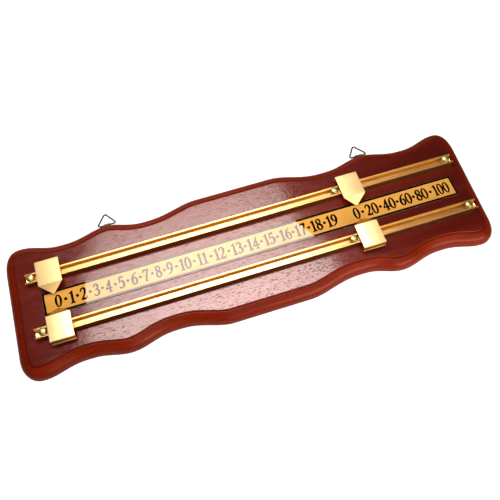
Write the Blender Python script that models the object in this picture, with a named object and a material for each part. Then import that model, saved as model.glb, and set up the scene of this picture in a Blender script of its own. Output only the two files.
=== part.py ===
"""Wall scoreboard for billiards and snooker, lying on its back.

Frame: metres, +X along the board, +Y towards the hanger edge, +Z out of the
face.  The origin is the middle of the flat back.
"""
import math

import bmesh
import bpy
from mathutils import Matrix, Vector

# ------------------------------------------------------------ driving sizes
MM = 0.001
GAP = 0.25 * MM                     # air left between pieces that touch

# board: the long edges are cut in waves about a point a little off centre
BOARD_THICK = 18.0 * MM
WAVE_SHIFT = 2.05 * MM
WAVE_EASE = 1.3                     # above 1 makes the hollows rounder
# each quarter: end of the level middle, inner hollow, inner crest, as x, y
WAVES = {
    ("upper", "right"): ((50.3 * MM, 89.4 * MM), (121.5 * MM, 76.4 * MM), (178.3 * MM, 85.9 * MM)),
    ("upper", "left"): ((50.8 * MM, 89.4 * MM), (121.0 * MM, 78.5 * MM), (170.4 * MM, 88.1 * MM)),
    ("lower", "right"): ((45.6 * MM, 86.5 * MM), (119.9 * MM, 74.6 * MM), (169.6 * MM, 85.0 * MM)),
    ("lower", "left"): ((50.0 * MM, 86.5 * MM), (117.0 * MM, 73.7 * MM), (175.3 * MM, 84.1 * MM)),
}
# each corner: outer hollow x, y, crest x, y, end of the board, how far the
# corner curve runs down the end, its squareness
CORNERS = {
    ("upper", "right"): (233.3 * MM, 76.5 * MM, 283.5 * MM, 86.2 * MM, 303.1 * MM, 31.0 * MM, 2.43),
    ("upper", "left"): (227.5 * MM, 78.5 * MM, 278.5 * MM, 88.5 * MM, 302.0 * MM, 37.7 * MM, 2.7),
    ("lower", "right"): (226.3 * MM, 74.9 * MM, 276.8 * MM, 83.5 * MM, 299.0 * MM, 33.3 * MM, 2.43),
    ("lower", "left"): (225.6 * MM, 76.6 * MM, 278.7 * MM, 85.3 * MM, 302.8 * MM, 30.6 * MM, 2.34),
}
FACE_INSET = 12.4 * MM              # edge moulding, measured across the edge
FACE_STEP = 1.1 * MM                # height of the small step round the face
ROUND_DOWN = 10.6 * MM              # depth of the edge round, a quarter ellipse
ROUND_FROM = math.radians(11.0)     # its slope where it meets the step
BACK_EASE = 1.2 * MM

# printed scale plate
PLATE_X = 7.8 * MM
PLATE_Y = -0.4 * MM
PLATE_L = 536.4 * MM
PLATE_W = 30.0 * MM
PLATE_T = 0.6 * MM
PLATE_CORNER = 1.6 * MM

# rails
RAIL_X0 = -274.8 * MM
RAIL_X1 = 288.0 * MM
RAIL_MID = -0.2 * MM                # line half way between the two rails
RAIL_ROW = 36.1 * MM                # rail centre line from that line
RAIL_W = 12.8 * MM
RAIL_H = 7.3 * MM
RAIL_WALL = 1.1 * MM
RAIL_LIP = 2.1 * MM                 # lip width measured from the outer face
RAIL_Z = BOARD_THICK + GAP

# rail screws: round heads that bridge the slot and stop the pointers
SCREW_XS = {1: (-268.0 * MM, 123.8 * MM, 279.0 * MM),
            -1: (-265.0 * MM, 121.6 * MM, 277.0 * MM)}
SCREW_HEAD_R = 5.0 * MM
SCREW_HEAD_H = 3.3 * MM
SCREW_RIM = 0.6 * MM
SCREW_SHANK_R = 1.9 * MM
SCREW_LENGTH = 18.0 * MM            # below the head
SCREW_HOLE_PLAY = 0.3 * MM
SCREW_HOLE_DEPTH = 11.0 * MM        # in the board

# pointers, in the row's own upright: distance from the plate's centre line
POINTER_XS = {"left_upper": -245.4 * MM, "left_lower": -243.9 * MM,
              "right_upper": 144.9 * MM, "right_lower": 142.6 * MM}
POINTER_W = 28.7 * MM
POINTER_T = 0.9 * MM
POINTER_TOP = 29.6 * MM             # top of the flat plate above the board's back
POINTER_IN = 20.5 * MM              # fold above the scale
POINTER_OUT = 53.8 * MM             # outer face of the turned-down edge
POINTER_TIP = 9.5 * MM
POINTER_TIP_Z = 20.4 * MM
POINTER_SKIRT = 8.0 * MM
POINTER_BEND = 1.2 * MM

# sliders in the rails
SLIDER_L = 28.0 * MM
SLIDER_PLAY = 0.3 * MM

# hangers on the back
HANGER_XS = (-166.7 * MM, 181.6 * MM)
HANGER_YS = (91.9 * MM, 89.5 * MM)  # hinge lines beyond the edge
HANGER_Z = 3.85 * MM
WIRE_R = 1.0 * MM
RING_BASE = 26.0 * MM
RING_HEIGHT = 19.6 * MM
RING_CORNER = 2.2 * MM
RING_DROP = math.radians(9.0)       # the ring lies against the wall or table
STRAP_W = 8.6 * MM
STRAP_T = 0.6 * MM
STRAP_END = 64.0 * MM
STRAP_HOLES = (68.4 * MM, 77.4 * MM)
LOOP_R = 1.27 * MM                  # inside radius of the curled loop
POCKET_DEPTH = 2.85 * MM
BACK_SCREW_R = 1.25 * MM
BACK_SCREW_HEAD_R = 2.6 * MM
BACK_SCREW_LENGTH = 9.0 * MM


# ------------------------------------------------------------ helpers
def clear_scene():
    for ob in list(bpy.data.objects):
        bpy.data.objects.remove(ob, do_unlink=True)


def material(name, colour, roughness, metallic=0.0, coat=0.0):
    mat = bpy.data.materials.new(name)
    mat.use_nodes = True
    shader = mat.node_tree.nodes["Principled BSDF"]
    shader.inputs["Base Color"].default_value = (*colour, 1.0)
    shader.inputs["Roughness"].default_value = roughness
    shader.inputs["Metallic"].default_value = metallic
    shader.inputs["Coat Weight"].default_value = coat
    mat.diffuse_color = (*colour, 1.0)
    return mat


def new_object(name, bm, mat, smooth_deg=35.0):
    bmesh.ops.recalc_face_normals(bm, faces=bm.faces)
    mesh = bpy.data.meshes.new(name)
    bm.to_mesh(mesh)
    bm.free()
    mesh.materials.append(mat)
    mesh.shade_smooth()
    mesh.set_sharp_from_angle(angle=math.radians(smooth_deg))
    ob = bpy.data.objects.new(name, mesh)
    bpy.context.scene.collection.objects.link(ob)
    return ob


def loft(rings, close_ends=True):
    """Closed solid through a list of equal, closed rings of points."""
    bm = bmesh.new()
    rows = [[bm.verts.new(p) for p in ring] for ring in rings]
    n = len(rows[0])
    for a, b in zip(rows, rows[1:]):
        for i in range(n):
            j = (i + 1) % n
            bm.faces.new((a[i], a[j], b[j], b[i]))
    if close_ends:
        bm.faces.new(list(reversed(rows[0])))
        bm.faces.new(rows[-1])
    return bm


def extrude_outline(points, z0, z1, bevel=0.0):
    """Prism of a plan outline between two heights, top edge eased by bevel."""
    rings = [[Vector((x, y, z0)) for x, y in points]]
    if bevel > 0.0:
        rings.append([Vector((x, y, z1 - bevel)) for x, y in points])
        rings.append([Vector((x, y, z1)) for x, y in inset(points, bevel)])
    else:
        rings.append([Vector((x, y, z1)) for x, y in points])
    return loft(rings)


def inset(points, dist):
    """Plan outline moved inwards by dist (anticlockwise points)."""
    out = []
    n = len(points)
    for i in range(n):
        x0, y0 = points[i - 1]
        x1, y1 = points[i]
        x2, y2 = points[(i + 1) % n]
        ax, ay = x1 - x0, y1 - y0
        bx, by = x2 - x1, y2 - y1
        la, lb = math.hypot(ax, ay), math.hypot(bx, by)
        nax, nay = -ay / la, ax / la
        nbx, nby = -by / lb, bx / lb
        mx, my = nax + nbx, nay + nby
        k = (mx * nax + my * nay)
        out.append((x1 + mx * dist / k, y1 + my * dist / k))
    return out


def turned(profile, steps, base=Vector((0.0, 0.0, 0.0))):
    """Solid of revolution about Z from (radius, height) points, axis to axis."""
    bm = bmesh.new()
    rows = []
    for r, z in profile:
        if r < 1e-9:
            rows.append([bm.verts.new(base + Vector((0.0, 0.0, z)))])
        else:
            rows.append([bm.verts.new(base + Vector((
                r * math.cos(2 * math.pi * k / steps),
                r * math.sin(2 * math.pi * k / steps), z)))
                for k in range(steps)])
    for a, b in zip(rows, rows[1:]):
        for k in range(steps):
            m = (k + 1) % steps
            if len(a) == 1 and len(b) > 1:
                bm.faces.new((a[0], b[k], b[m]))
            elif len(b) == 1 and len(a) > 1:
                bm.faces.new((a[k], a[m], b[0]))
            elif len(a) > 1:
                bm.faces.new((a[k], a[m], b[m], b[k]))
    return bm


def arc(cx, cy, r, a0, a1, steps):
    return [(cx + r * math.cos(math.radians(a0 + (a1 - a0) * k / steps)),
             cy + r * math.sin(math.radians(a0 + (a1 - a0) * k / steps)))
            for k in range(steps + 1)]


def sheet_outline(path, thick):
    """Closed outline of a bent sheet whose middle follows path."""
    left, right = [], []
    n = len(path)
    for i, (x, y) in enumerate(path):
        if i == 0:
            dx, dy = path[1][0] - x, path[1][1] - y
            k = 1.0
        elif i == n - 1:
            dx, dy = x - path[-2][0], y - path[-2][1]
            k = 1.0
        else:
            ax, ay = x - path[i - 1][0], y - path[i - 1][1]
            bx, by = path[i + 1][0] - x, path[i + 1][1] - y
            la, lb = math.hypot(ax, ay), math.hypot(bx, by)
            ax, ay, bx, by = ax / la, ay / la, bx / lb, by / lb
            dx, dy = ax + bx, ay + by
            k = 1.0 / math.sqrt(max(0.25, (1 + ax * bx + ay * by) / 2))
        length = math.hypot(dx, dy)
        nx, ny = -dy / length, dx / length
        h = 0.5 * thick * k
        left.append((x + nx * h, y + ny * h))
        right.append((x - nx * h, y - ny * h))
    return left + right[::-1]


def extrude_along_x(outline_yz, x0, x1):
    rings = [[Vector((x, y, z)) for y, z in outline_yz] for x in (x0, x1)]
    return loft(rings)


def cutter(name, bm):
    bmesh.ops.recalc_face_normals(bm, faces=bm.faces)
    mesh = bpy.data.meshes.new(name)
    bm.to_mesh(mesh)
    bm.free()
    ob = bpy.data.objects.new(name, mesh)
    ob.hide_render = True
    ob.display_type = "WIRE"
    bpy.context.scene.collection.objects.link(ob)
    return ob


def boolean(ob, tool, operation):
    mod = ob.modifiers.new(tool.name, "BOOLEAN")
    mod.operation = operation
    mod.object = tool
    mod.solver = "EXACT"


def rod_cutter(name, x, y, r, z0, z1, steps=16):
    return cutter(name, turned([(0, z0), (r, z0), (r, z1), (0, z1)], steps,
                               Vector((x, y, 0.0))))


# ------------------------------------------------------------ board
def half_width(d, pts):
    """Half width of the board at distance d from the wave centre."""
    if d <= pts[0][0]:
        return pts[0][1]
    for (xa, ya), (xb, yb) in zip(pts, pts[1:]):
        if d <= xb:
            high, low = max(ya, yb), min(ya, yb)
            t = (d - xa) / (xb - xa)
            if yb > ya:
                t = 1.0 - t
            ease = (1.0 + math.cos(math.pi * t)) / 2.0
            return low + (high - low) * ease ** WAVE_EASE
    return pts[-1][1]


def quarter(edge, side):
    """Points from the middle of a long edge round its corner to the end."""
    hollow_x, hollow_y, crest_x, crest_y, end, reach, power = CORNERS[(edge, side)]
    waves = list(WAVES[(edge, side)]) + [(hollow_x, hollow_y), (crest_x, crest_y)]
    count = 46
    pts = [(crest_x * k / count, half_width(crest_x * k / count, waves))
           for k in range(count + 1)]
    steps = 11
    for k in range(1, steps + 1):
        t = math.pi / 2 * k / steps
        pts.append((crest_x + (end - crest_x) * math.sin(t) ** (2.0 / power),
                    crest_y - reach + reach * max(0.0, math.cos(t)) ** (2.0 / power)))
    return pts


def board_outline():
    """Anticlockwise from the upper right end."""
    upper = quarter("upper", "right")[::-1]
    upper += [(-x, y) for x, y in quarter("upper", "left")[1:]]
    lower = [(-x, -y) for x, y in quarter("lower", "left")[::-1]]
    lower += [(x, -y) for x, y in quarter("lower", "right")[1:]]
    return [(x + WAVE_SHIFT, y) for x, y in upper + lower]


def make_board(mat):
    outline = board_outline()
    top = BOARD_THICK
    moulding_top = top - FACE_STEP
    levels = [(BACK_EASE, 0.0), (BACK_EASE * 0.3, BACK_EASE * 0.3),
              (0.0, BACK_EASE)]
    grow = (FACE_INSET - 0.3 * MM) / (1 - math.sin(ROUND_FROM))
    steps = 7
    for k in range(steps + 1):
        a = math.pi / 2 + (ROUND_FROM - math.pi / 2) * k / steps
        levels.append((grow * (1 - math.sin(a)),
                       moulding_top - ROUND_DOWN * (math.cos(ROUND_FROM) - math.cos(a))))
    levels.append((FACE_INSET, moulding_top + 0.3 * MM))
    levels.append((FACE_INSET, top - 0.25 * MM))
    levels.append((FACE_INSET + 0.3 * MM, top))
    rings = []
    for d, z in levels:
        pts = inset(outline, d) if d > 0 else outline
        rings.append([Vector((x, y, z)) for x, y in pts])
    board = new_object("backboard", loft(rings), mat, 40.0)
    for row in (1, -1):
        for i, x in enumerate(SCREW_XS[row]):
            boolean(board, rod_cutter("cut_rail_hole_%d_%d" % (row, i), x,
                                      RAIL_MID + row * RAIL_ROW,
                                      SCREW_SHANK_R + SCREW_HOLE_PLAY,
                                      top - SCREW_HOLE_DEPTH, top + 4 * MM), "DIFFERENCE")
    for i, x in enumerate(HANGER_XS):
        hw = STRAP_W / 2 + 0.5 * MM
        pocket = loft([[Vector((x - hw, y, -2 * MM)), Vector((x + hw, y, -2 * MM)),
                        Vector((x + hw, y, POCKET_DEPTH)), Vector((x - hw, y, POCKET_DEPTH))]
                       for y in (STRAP_END - 0.6 * MM, 110 * MM)])
        boolean(board, cutter("cut_pocket_%d" % i, pocket), "DIFFERENCE")
        for k, y in enumerate(STRAP_HOLES):
            boolean(board, rod_cutter("cut_back_hole_%d_%d" % (i, k), x, y,
                                      BACK_SCREW_R + 0.25 * MM, -1 * MM, 10.5 * MM, 12),
                    "DIFFERENCE")
    return board


# ------------------------------------------------------------ scale plate
def make_plate(mat):
    pts = []
    hx, hy, r = PLATE_L / 2, PLATE_W / 2, PLATE_CORNER
    for cx, cy, a0 in ((hx - r, hy - r, 0), (-hx + r, hy - r, 90),
                       (-hx + r, -hy + r, 180), (hx - r, -hy + r, 270)):
        pts += arc(PLATE_X + cx, PLATE_Y + cy, r, a0, a0 + 90, 4)
    z0 = BOARD_THICK + GAP
    return new_object("scale_plate", extrude_outline(pts, z0, z0 + PLATE_T, 0.12 * MM), mat)


# ------------------------------------------------------------ rails
def rail_section():
    """Channel section: floor, two walls and lips turned in over the slot."""
    w, h, t, lip = RAIL_W / 2, RAIL_H, RAIL_WALL, RAIL_LIP
    c = 0.3 * MM
    half = [(w - c, 0.0), (w, c), (w, h - c), (w - c, h),
            (w - lip + 0.2 * MM, h), (w - lip, h - 0.2 * MM), (w - lip, h - t),
            (w - t, h - t), (w - t, t)]
    return half + [(-x, z) for x, z in reversed(half)]


def make_rail(name, row, mat):
    y0 = RAIL_MID + row * RAIL_ROW
    pts = [(y0 + y, RAIL_Z + z) for y, z in rail_section()]
    rail = new_object(name, extrude_along_x(pts, RAIL_X0, RAIL_X1), mat, 30.0)
    for i, x in enumerate(SCREW_XS[row]):
        boolean(rail, rod_cutter("cut_%s_%d" % (name, i), x, y0,
                                 SCREW_SHANK_R + SCREW_HOLE_PLAY,
                                 RAIL_Z - 2 * MM, RAIL_Z + 4 * MM), "DIFFERENCE")
    return rail


# ------------------------------------------------------------ screws
def cross_recess(name, x, y, z, width, length, depth):
    """Cutter for the cross in a screw head: one tapered, cross-shaped prism."""
    w, a = width / 2, length / 2
    star = [(w, w), (w, a), (-w, a), (-w, w), (-a, w), (-a, -w),
            (-w, -w), (-w, -a), (w, -a), (w, -w), (a, -w), (a, w)]
    rings = []
    for zz, k in ((z - depth, 0.55), (z + 2 * MM, 1.35)):
        rings.append([Vector((x + px * k, y + py * k, zz)) for px, py in star])
    return cutter(name, loft(rings))


def make_rail_screw(name, x, row, mat):
    y = RAIL_MID + row * RAIL_ROW
    seat = RAIL_Z + RAIL_H + GAP
    r, h, skirt = SCREW_HEAD_R, SCREW_HEAD_H, SCREW_RIM
    dome = [(0.0, seat - SCREW_LENGTH), (SCREW_SHANK_R * 0.45, seat - SCREW_LENGTH + 1.6 * MM),
            (SCREW_SHANK_R, seat - SCREW_LENGTH + 4.2 * MM), (SCREW_SHANK_R, seat),
            (r * 0.95, seat), (r, seat + 0.2 * MM), (r, seat + skirt)]
    for k in range(1, 8):
        a = math.pi / 2 * k / 7
        dome.append((r * math.cos(a) if k < 7 else 0.0,
                     seat + skirt + (h - skirt) * math.sin(a)))
    screw = new_object(name, turned(dome, 24, Vector((x, y, 0.0))), mat, 50.0)
    boolean(screw, cross_recess("cut_" + name, x, y, seat + h,
                                0.6 * MM, 2.6 * MM, 1.0 * MM), "DIFFERENCE")
    return screw


def make_back_screw(name, x, y, mat):
    under = HANGER_Z - LOOP_R - STRAP_T - GAP       # strap's outer face less the gap
    r = BACK_SCREW_HEAD_R
    prof = [(0.0, under - 1.15 * MM), (r * 0.55, under - 1.1 * MM), (r * 0.9, under - 0.8 * MM),
            (r, under - 0.35 * MM), (r, under), (BACK_SCREW_R, under),
            (BACK_SCREW_R, under + BACK_SCREW_LENGTH - 2.6 * MM),
            (BACK_SCREW_R * 0.4, under + BACK_SCREW_LENGTH - 0.8 * MM),
            (0.0, under + BACK_SCREW_LENGTH)]
    screw = new_object(name, turned(prof, 16, Vector((x, y, 0.0))), mat, 50.0)
    # cross in the head, cut from below
    w, a = 0.3 * MM, 1.35 * MM
    star = [(w, w), (w, a), (-w, a), (-w, w), (-a, w), (-a, -w),
            (-w, -w), (-w, -a), (w, -a), (w, -w), (a, -w), (a, w)]
    rings = [[Vector((x + px, y + py, z)) for px, py in star]
             for z in (under - 3 * MM, under - 0.55 * MM)]
    boolean(screw, cutter("cut_" + name, loft(rings)), "DIFFERENCE")
    return screw


# ------------------------------------------------------------ pointers
def pointer_path():
    """Middle line of the bent sheet, as (distance from the scale line, height)."""
    t = POINTER_T
    z = POINTER_TOP - t / 2
    tip = (POINTER_TIP, POINTER_TIP_Z - t / 2)
    slope = math.degrees(math.atan2(z - tip[1], POINTER_IN - tip[0]))
    rb = 2.0 * MM                                    # fold above the scale
    cut = rb * math.tan(math.radians(slope / 2))
    path = [tip]
    path += arc(POINTER_IN + cut, z - rb, rb, 90 + slope, 90, 4)
    out = POINTER_OUT - t / 2
    path += arc(out - POINTER_BEND, z - POINTER_BEND, POINTER_BEND, 90, 0, 6)
    lip = 0.85 * MM
    low = POINTER_TOP - POINTER_SKIRT + t / 2
    path += arc(out + lip, low + lip, lip, 180, 270, 4)
    path.append((out + lip + 0.5 * MM, low))
    return path


def make_pointer(name, x, row, mat):
    outline = sheet_outline(pointer_path(), POINTER_T)
    pts = [(PLATE_Y + row * u, z) for u, z in outline]
    if row < 0:
        pts.reverse()
    body = new_object(name, extrude_along_x(pts, x - POINTER_W / 2, x + POINTER_W / 2),
                      mat, 25.0)
    # plan shape: straight sides and a full-width point with a small round tip
    w = POINTER_W / 2
    run = POINTER_IN - POINTER_TIP
    half_angle = math.atan2(w, run)
    r = 1.1 * MM
    cy = POINTER_TIP + r / math.sin(half_angle) * 1.0
    plan = [(w + 2 * MM, 70 * MM), (-w - 2 * MM, 70 * MM)]
    plan += [(-w - 2 * MM, POINTER_IN + 2 * MM / math.tan(half_angle))]
    plan += [(a, b) for a, b in arc(0.0, cy, r, 180 + math.degrees(half_angle),
                                    360 - math.degrees(half_angle), 5)]
    plan += [(w + 2 * MM, POINTER_IN + 2 * MM / math.tan(half_angle))]
    rings = [[Vector((x + a, PLATE_Y + row * b, z)) for a, b in plan]
             for z in (15 * MM, 40 * MM)]
    boolean(body, cutter("cut_" + name, loft(rings)), "INTERSECT")
    return body


def make_slider(name, x, row, mat):
    y0 = RAIL_MID + row * RAIL_ROW
    foot = RAIL_W / 2 - RAIL_WALL - SLIDER_PLAY
    neck = RAIL_W / 2 - RAIL_LIP - SLIDER_PLAY
    z0 = RAIL_Z + RAIL_WALL + SLIDER_PLAY
    z1 = RAIL_Z + RAIL_H - RAIL_WALL - SLIDER_PLAY
    z2 = POINTER_TOP - POINTER_T - GAP
    half = [(foot - 0.3 * MM, z0), (foot, z0 + 0.3 * MM), (foot, z1), (neck, z1), (neck, z2)]
    pts = [(y0 + y, z) for y, z in half] + [(y0 - y, z) for y, z in reversed(half)]
    return new_object(name, extrude_along_x(pts, x - SLIDER_L / 2, x + SLIDER_L / 2), mat)


# ------------------------------------------------------------ hangers
def make_strap(name, x, hinge_y, mat):
    t = STRAP_T
    r = LOOP_R + t / 2
    z = HANGER_Z - r
    path = [(STRAP_END, z), (hinge_y - 1.0 * MM, z)]
    path += arc(hinge_y, HANGER_Z, r, -90, 215, 18)
    pts = sheet_outline(path, t)
    strap = new_object(name, extrude_along_x(pts, x - STRAP_W / 2, x + STRAP_W / 2), mat, 30.0)
    # rounded inner end
    w = STRAP_W / 2
    plan = [(w + 1 * MM, 100 * MM), (-w - 1 * MM, 100 * MM), (-w - 1 * MM, STRAP_END + w)]
    plan += arc(0.0, STRAP_END + w, w, 180, 360, 10)
    plan += [(w + 1 * MM, STRAP_END + w)]
    rings = [[Vector((x + a, b, zz)) for a, b in plan] for zz in (-5 * MM, 12 * MM)]
    boolean(strap, cutter("cut_end_" + name, loft(rings)), "INTERSECT")
    for k, y in enumerate(STRAP_HOLES):
        boolean(strap, rod_cutter("cut_%s_%d" % (name, k), x, y,
                                  BACK_SCREW_R + 0.25 * MM, -1 * MM, HANGER_Z, 12), "DIFFERENCE")
    return strap


def ring_path():
    """Closed middle line of the wire triangle: base on the hinge line."""
    half, h, r = RING_BASE / 2, RING_HEIGHT, RING_CORNER
    corners = [(-half, 0.0), (half, 0.0), (0.0, h)]
    pts = []
    for i in range(3):
        p0, p1, p2 = (Vector((*corners[i - 1], 0)), Vector((*corners[i], 0)),
                      Vector((*corners[(i + 1) % 3], 0)))
        a, b = (p0 - p1).normalized(), (p2 - p1).normalized()
        ang = a.angle(b)
        cut = r / math.tan(ang / 2)
        centre = p1 + (a + b).normalized() * (r / math.sin(ang / 2))
        s, e = p1 + a * cut, p1 + b * cut
        va, vb = s - centre, e - centre
        steps = 5
        for k in range(steps + 1):
            v = va.lerp(vb, k / steps)
            pts.append(centre + v.normalized() * r)
    return pts


def make_ring(name, x, hinge_y, mat):
    pts = ring_path()
    n = len(pts)
    sides = 10
    bm = bmesh.new()
    rows = []
    for i, p in enumerate(pts):
        t = (pts[(i + 1) % n] - pts[i - 1]).normalized()
        side = Vector((-t.y, t.x, 0.0))
        rows.append([bm.verts.new(p + side * (WIRE_R * math.cos(2 * math.pi * k / sides)) +
                                  Vector((0, 0, WIRE_R * math.sin(2 * math.pi * k / sides))))
                     for k in range(sides)])
    for i in range(n):
        a, b = rows[i], rows[(i + 1) % n]
        for k in range(sides):
            m = (k + 1) % sides
            bm.faces.new((a[k], a[m], b[m], b[k]))
    bmesh.ops.rotate(bm, verts=bm.verts, cent=(0, 0, 0),
                     matrix=Matrix.Rotation(-RING_DROP, 3, "X"))
    ob = new_object(name, bm, mat, 60.0)
    ob.location = (x, hinge_y, HANGER_Z)
    return ob


# ------------------------------------------------------------ assembly
def main():
    clear_scene()
    wood = material("lacquered_mahogany", (0.145, 0.020, 0.012), 0.22, coat=0.6)
    print_gold = material("gold_scale_print", (0.80, 0.50, 0.13), 0.32, 0.6)
    brass = material("polished_brass", (0.86, 0.62, 0.25), 0.2, 1.0)
    pointer_brass = material("pointer_brass", (0.90, 0.72, 0.38), 0.28, 1.0)
    slider_brass = material("slider_brass", (0.55, 0.40, 0.17), 0.4, 1.0)
    screw_brass = material("screw_brass", (0.62, 0.54, 0.25), 0.25, 1.0)
    wire = material("hanger_wire", (0.22, 0.19, 0.12), 0.4, 1.0)
    strap = material("hanger_strap", (0.50, 0.38, 0.17), 0.4, 1.0)

    make_board(wood)
    make_plate(print_gold)
    for name, row in (("rail_upper", 1), ("rail_lower", -1)):
        make_rail(name, row, brass)
    for row_name, row in (("upper", 1), ("lower", -1)):
        for place, x in zip(("left", "middle", "right"), SCREW_XS[row]):
            make_rail_screw("rail_screw_%s_%s" % (row_name, place), x, row, screw_brass)
    for key, x in POINTER_XS.items():
        row = 1 if key.endswith("upper") else -1
        plate = make_pointer("pointer_" + key, x, row, pointer_brass)
        slider = make_slider("slider_" + key, x, row, slider_brass)
        carrier = bpy.data.objects.new("carrier_" + key, None)
        carrier.location = (x, RAIL_MID + row * RAIL_ROW, RAIL_Z)
        bpy.context.scene.collection.objects.link(carrier)
        bpy.context.view_layer.update()
        for ob in (plate, slider):
            ob.parent = carrier
            ob.matrix_parent_inverse = carrier.matrix_world.inverted()
    for side, x, y in zip(("left", "right"), HANGER_XS, HANGER_YS):
        make_strap("hanger_strap_" + side, x, y, strap)
        make_ring("hanger_ring_" + side, x, y, wire)
        for k, hole_y in enumerate(STRAP_HOLES):
            make_back_screw("hanger_screw_%s_%d" % (side, k + 1), x, hole_y, screw_brass)


main()
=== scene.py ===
"""Looks of the wall scoreboard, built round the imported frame.

Lengths below are millimetres until they reach a mesh; +X runs along the
board, +Y towards the hangers, +Z out of the face.
"""

import math

import bmesh
import bpy
import numpy as np
from mathutils import Matrix, Vector


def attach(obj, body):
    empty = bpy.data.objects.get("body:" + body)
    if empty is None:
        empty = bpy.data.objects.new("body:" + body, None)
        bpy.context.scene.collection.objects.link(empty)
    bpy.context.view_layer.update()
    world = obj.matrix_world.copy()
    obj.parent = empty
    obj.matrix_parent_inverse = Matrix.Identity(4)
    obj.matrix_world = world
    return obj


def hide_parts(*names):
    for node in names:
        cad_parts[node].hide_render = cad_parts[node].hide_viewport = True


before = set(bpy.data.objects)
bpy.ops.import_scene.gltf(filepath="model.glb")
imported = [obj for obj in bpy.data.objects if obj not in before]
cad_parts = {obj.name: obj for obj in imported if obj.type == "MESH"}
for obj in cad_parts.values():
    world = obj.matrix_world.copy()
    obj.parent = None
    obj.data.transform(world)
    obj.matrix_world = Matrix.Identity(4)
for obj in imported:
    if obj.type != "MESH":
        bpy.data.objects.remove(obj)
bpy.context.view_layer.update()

MM = 0.001

# ------------------------------------------------------------ sizes of the object
GAP = 0.25
BOARD_THICK = 18.0
WAVE_SHIFT = 2.05
WAVE_EASE = 1.3
WAVES = {
    ("upper", "right"): ((50.3, 89.4), (121.5, 76.4), (178.3, 85.9)),
    ("upper", "left"): ((50.8, 89.4), (121.0, 78.5), (170.4, 88.1)),
    ("lower", "right"): ((45.6, 86.5), (119.9, 74.6), (169.6, 85.0)),
    ("lower", "left"): ((50.0, 86.5), (117.0, 73.7), (175.3, 84.1)),
}
CORNERS = {
    ("upper", "right"): (233.3, 76.5, 283.5, 86.2, 303.1, 31.0, 2.43),
    ("upper", "left"): (227.5, 78.5, 278.5, 88.5, 302.0, 37.7, 2.7),
    ("lower", "right"): (226.3, 74.9, 276.8, 83.5, 299.0, 33.3, 2.43),
    ("lower", "left"): (225.6, 76.6, 278.7, 85.3, 302.8, 30.6, 2.34),
}
FACE_INSET = 12.4
GROOVE_W, GROOVE_DEEP = 1.5, 0.9         # dark line at the foot of the raised face
FACE_STEP = 1.1
ROUND_DOWN, ROUND_FROM = 10.6, 11.0      # depth of the edge round, and its slope at the step in degrees
BACK_EASE = 1.2

PLATE_X, PLATE_Y, PLATE_L, PLATE_W, PLATE_T, PLATE_CORNER = 7.8, -0.4, 536.4, 30.0, 0.6, 1.6
PLATE_BORDER, PLATE_BORDER_END = 2.95, 2.6
PLATE_TOP = BOARD_THICK + GAP + PLATE_T

RAIL_X0, RAIL_X1 = -274.8, 288.0
RAIL_MID, RAIL_ROW = -0.2, 36.1
RAIL_W, RAIL_H, RAIL_WALL, RAIL_LIP = 12.8, 7.3, 1.1, 2.1
RAIL_Z = BOARD_THICK + GAP

SCREW_XS = {1: (-268.0, 123.8, 279.0), -1: (-265.0, 121.6, 277.0)}
SCREW_HEAD_R, SCREW_HEAD_H, SCREW_RIM, SCREW_SHANK_R, SCREW_LENGTH = 5.0, 3.3, 0.6, 1.9, 18.0
SCREW_HOLE_PLAY, SCREW_HOLE_DEPTH = 0.3, 11.0

POINTER_XS = {"left_upper": -245.4, "left_lower": -243.9, "right_upper": 144.9, "right_lower": 142.6}
POINTER_W, POINTER_T, POINTER_TOP = 28.7, 0.9, 29.6
POINTER_IN, POINTER_OUT, POINTER_TIP, POINTER_TIP_Z = 20.5, 53.8, 9.5, 20.4
POINTER_SKIRT, POINTER_BEND = 8.0, 1.2
SLIDER_L, SLIDER_PLAY = 28.0, 0.3

HANGER_XS, HANGER_YS, HANGER_Z = (-166.7, 181.6), (91.9, 89.5), 3.85
WIRE_R, RING_BASE, RING_HEIGHT, RING_CORNER = 1.0, 26.0, 19.6, 2.2
RING_DROP = math.radians(9.0)
STRAP_W, STRAP_T, STRAP_END, STRAP_HOLES = 8.6, 0.6, 64.0, (68.4, 77.4)
LOOP_R, POCKET_DEPTH = 1.27, 2.85
BACK_SCREW_R, BACK_SCREW_HEAD_R, BACK_SCREW_LENGTH = 1.25, 2.6, 9.0

DIGIT_H = 15.8
DIGIT_LOW = -8.1                    # foot of the digits from the plate's origin line
# what is printed, and the place of its middle along the plate
SCALE = [("0", -242.2), ("1", -225.7), ("2", -211.5), ("3", -195.5), ("4", -180.8),
         ("5", -164.8), ("6", -149.2), ("7", -134.3), ("8", -118.9), ("9", -104.1),
         ("10", -84.8), ("11", -63.1), ("12", -40.6), ("13", -18.0), ("14", 2.6),
         ("15", 24.1), ("16", 45.2), ("17", 65.5), ("18", 86.6), ("19", 107.6),
         ("0", 140.8), ("20", 161.5), ("40", 185.1), ("60", 207.8), ("80", 230.4),
         ("100", 257.6)]
DOT_R = 1.95
BOLD = 0.49
NARROW = {3: 0.92}                  # the three-digit number is set closer


# ------------------------------------------------------------ mesh helpers
def mesh_object(name, bm, smooth_deg=35.0, materials=()):
    bmesh.ops.recalc_face_normals(bm, faces=bm.faces)
    mesh = bpy.data.meshes.new(name)
    bm.to_mesh(mesh)
    bm.free()
    for mat in materials:
        mesh.materials.append(mat)
    mesh.shade_smooth()
    mesh.set_sharp_from_angle(angle=math.radians(smooth_deg))
    ob = bpy.data.objects.new(name, mesh)
    bpy.context.scene.collection.objects.link(ob)
    return ob


def v(x, y, z):
    return Vector((x * MM, y * MM, z * MM))


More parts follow.
